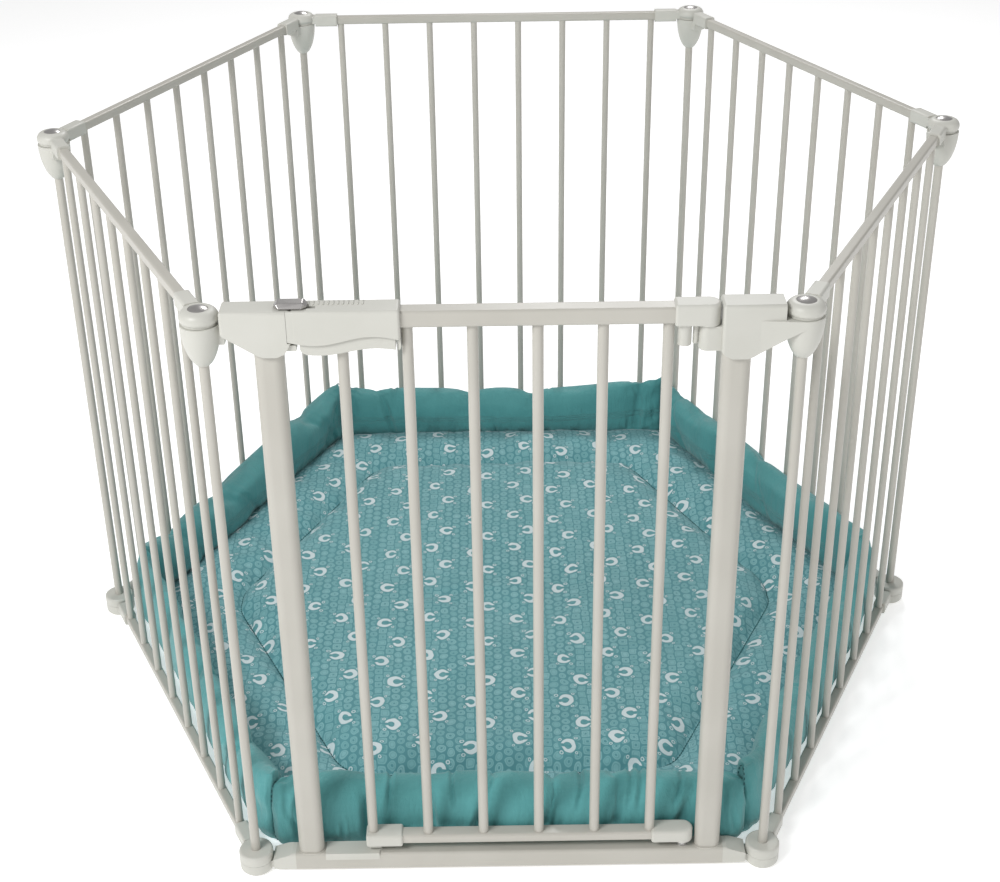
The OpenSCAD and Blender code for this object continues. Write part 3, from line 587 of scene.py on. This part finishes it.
def floor_pad():
    """Quilted floor: rings of points from the edge to the middle, with a sewn line along an inner
    hexagon. Returns the piece and the points of the sewn line."""
    seam = SEAM_IN - GAP
    outer = [PAD_TUCK, PAD_TUCK + 0.006, PAD_TUCK + 0.013]
    rest = seam - NEAR_SEAM[2] - outer[-1]
    steps = round(rest / RING_STEP)
    outer += [outer[-1] + rest * k / steps for k in range(1, steps + 1)]
    outer += [seam - NEAR_SEAM[1], seam - NEAR_SEAM[0], seam]

    def outline(d):
        """The hexagon at distance d from the mat's edge, with its corners rounded off: each side is
        bent over its last cut, by bite at the corner."""
        pts = [inset(i, GAP + d) for i in range(6)]
        cut = max(0.02, 0.075 - d * 0.25)
        bite = cut * (0.06 + 0.22 * min(1, d / seam))
        out = []
        for i in range(6):
            a, b = pts[i], pts[(i + 1) % 6]
            for k in range(PAD_PER_SIDE):
                p = a.lerp(b, k / PAD_PER_SIDE)
                da, db = (p - a).length, (p - b).length
                near = min(da, db)
                if near < cut:
                    corner = a if da < db else b
                    p = p - corner.normalized() * ((1 - near / cut) ** 2 * bite)
                out.append(p)
        return out

    rings = [(outline(d), seam - d, d - PAD_TUCK) for d in outer]
    sewn = rings[-1][0]
    radius = min(p.length for p in sewn)
    inner = list(NEAR_SEAM)
    inner += [NEAR_SEAM[2] + INNER_STEP * k for k in range(1, int((radius - MIDDLE_ROOM) / INNER_STEP))]
    rings += [([p * (1 - d / radius) for p in sewn], d, 1.0) for d in inner]
    verts, uvs, pins = [], [], []
    for pts, off_seam, off_edge in rings:
        for p in pts:
            puff = (1 - math.exp(-(off_seam / 0.010) ** 0.9)) * (1 - math.exp(-off_edge / 0.016))
            h = PAD_EDGE + PAD_PUFF * puff
            near = math.exp(-off_seam / 0.030) * (1 - math.exp(-off_seam / 0.004))
            h += 0.0065 * noise.noise(Vector((p.x * 34, p.y * 34, 2.0))) * near
            h += 0.0030 * noise.noise(Vector((p.x * 7, p.y * 7, 5.0))) * puff
            h += 0.0012 * noise.noise(Vector((p.x * 19, p.y * 12, 9.0))) * puff
            verts.append(Vector((p.x, p.y, h)))
            uvs.append((p.x, p.y))
            pins.append(1.0 if off_seam == 0 or off_edge == 0 else 0.0)
    n = PAD_PER_SIDE * 6
    faces = between_rings(len(rings), n)
    last = (len(rings) - 1) * n
    centre = len(verts)
    verts.append(Vector((0, 0, sum(verts[last + k].z for k in range(n)) / n)))
    uvs.append((0, 0))
    pins.append(0.0)
    for k in range(n):
        faces.append((last + k, last + (k + 1) % n, centre))
    low = len(verts)
    for p in outline(PAD_TUCK - 0.001):
        verts.append(Vector((p.x, p.y, PAD_UNDER)))
        uvs.append((p.x, p.y))
        pins.append(1.0)
    for k in range(n):
        m = (k + 1) % n
        faces.append((low + k, low + m, m, k))
    faces.append(tuple(low + k for k in range(n - 1, -1, -1)))
    obj = new_piece("floor_pad", verts, faces, uvs, PRINT)
    line = [verts[(len(outer) - 1) * n + k].copy() for k in range(n)]
    relax(obj, pins, pressure=1.2, grow=-0.010, cap=0.006, frames=12)
    return obj, line


def stitches(name, paths, length, gap, thread, material):
    """Short raised stitches along each path, as small closed capsules."""
    verts, faces = [], []
    sides = STITCH_SIDES
    for path in paths:
        marks = [0.0]
        for a, b in zip(path, path[1:]):
            marks.append(marks[-1] + (b - a).length)

        def at(x):
            k = max(1, next((n for n, m in enumerate(marks) if m >= x), len(marks) - 1))
            return path[k - 1].lerp(path[k], (x - marks[k - 1]) / max(1e-9, marks[k] - marks[k - 1]))

        x = gap
        while x + length < marks[-1]:
            a, b = at(x), at(x + length)
            along = (b - a).normalized()
            flat = along.cross(Vector((0, 0, 1)))
            flat = flat.normalized() if flat.length > 0.2 else Vector((1, 0, 0))
            up = flat.cross(along)
            first = len(verts)
            for t, r in CAPSULE:
                mid = a.lerp(b, t)
                for k in range(sides):
                    q = 2 * math.pi * k / sides
                    verts.append(mid + (flat * math.cos(q) + up * math.sin(q)) * thread * r)
            faces += closed_rings(len(CAPSULE), sides, first)
            x += length + gap
    return new_piece(name, verts, faces, None, material)


made = [rim_wall(i) for i in range(6)]
walls = [wall for wall, edge in made]
pad, sewn_line = floor_pad()
THREAD = thread_cloth()
lift = Vector((0, 0, STITCH_LIFT))
pad_seam = stitches("floor_pad_stitching", [[p + lift for p in sewn_line + sewn_line[:1]]],
                    *PAD_STITCH, THREAD)
rim_seams = stitches("rim_stitching", [edge + edge[:1] for wall, edge in made], *RIM_STITCH, THREAD)
for wall in walls:
    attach(wall, "gate_frame")
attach(pad, "gate_frame")
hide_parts("mat_floor")
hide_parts("mat_rim")
for sewing in (pad_seam, rim_seams):
    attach(sewing, "gate_frame")
for soft in [*walls, pad, pad_seam, rim_seams]:
    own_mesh(soft)


# ---------- camera, floor and light ----------

CAMERA_AT = (-0.0062, -2.065, 1.433)
CAMERA_DOWN, CAMERA_TURN, CAMERA_ROLL = 28.97, -0.08, -0.81
AIM = Vector((0, 0, 0.3))

camera = bpy.data.objects.new("camera", bpy.data.cameras.new("camera"))
scene.collection.objects.link(camera)
camera.data.sensor_width = 36
camera.data.lens = 61.25
camera.data.shift_y = -0.0107
camera.matrix_world = (
    Matrix.Translation(CAMERA_AT)
    @ Euler((math.radians(90 - CAMERA_DOWN), 0, math.radians(CAMERA_TURN))).to_matrix().to_4x4()
    @ Matrix.Rotation(math.radians(CAMERA_ROLL), 4, "Z"))
scene.camera = camera


def floor_material():
    s = Shade("studio_floor")
    return s.finish(s.blend(s.noise(3, 2), (0.93, 0.93, 0.93), (0.95, 0.95, 0.95)), 0.9,
                    Emission_Color=(1, 1, 1, 1), Emission_Strength=0.42)


bpy.ops.mesh.primitive_plane_add(size=90, location=(0, 0, -0.0005))
ground = bpy.context.object
ground.name = "studio_floor"
ground.data.materials.append(floor_material())

world = scene.world or bpy.data.worlds.new("studio")
scene.world = world
world.use_nodes = True
background = world.node_tree.nodes["Background"]
background.inputs["Color"].default_value = (1, 1, 1, 1)
background.inputs["Strength"].default_value = 0.38


def softbox(name, place, size, power):
    """Rectangular light at place, turned towards the pen."""
    light = bpy.data.lights.new(name, "AREA")
    light.shape = "RECTANGLE"
    light.size, light.size_y = size
    light.energy = power
    obj = bpy.data.objects.new(name, light)
    scene.collection.objects.link(obj)
    obj.location = place
    obj.rotation_euler = (AIM - Vector(place)).to_track_quat("-Z", "Y").to_euler()


softbox("key", (-1.9, -2.3, 2.7), (1.3, 1.0), 80)
softbox("fill", (2.4, -1.6, 2.2), (1.6, 1.6), 12)
softbox("back", (0.4, 2.4, 2.7), (0.9, 0.7), 34)

scene.view_settings.view_transform = "Standard"
